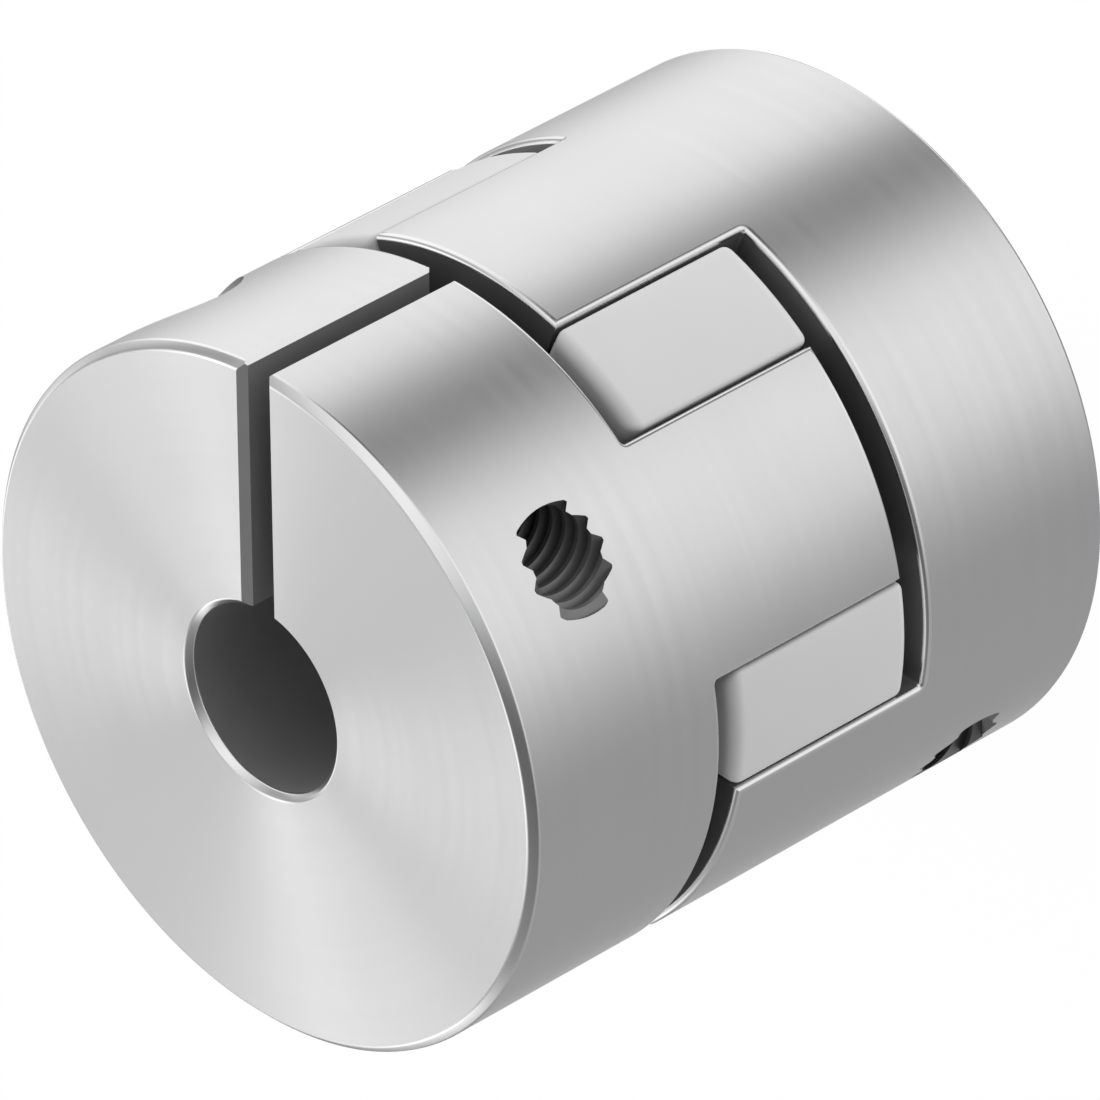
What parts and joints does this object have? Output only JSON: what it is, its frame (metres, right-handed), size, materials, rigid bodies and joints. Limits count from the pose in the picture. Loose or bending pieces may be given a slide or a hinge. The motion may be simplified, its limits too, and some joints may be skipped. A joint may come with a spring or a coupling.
{
  "type": "shaft coupling",
  "caption": "Backlash-free jaw coupling: bright turned aluminium clamping hubs that mesh through a light grey elastomer spider, with socket head clamp screws.",
  "frame": {"origin": "middle of the rear hub's end face, on the common axis of both shafts", "axes": "+Z along the common shaft axis from the rear hub to the front hub; the rear hub's clamping slot opens to -X, the front hub's to +X; both clamp screws lie along Y with their heads at +Y"},
  "size_m": [0.03, 0.03, 0.032],
  "materials": {
    "hub": "fine turned, bright",
    "spider": "moulded, matte",
    "screw": "black oxide"
  },
  "bodies": {
    "root": {"rear_hub": "hub", "spider": "spider", "front_hub": "hub", "rear_clamp_screw": "screw", "front_clamp_screw": "screw"}
  },
  "joints": []
}
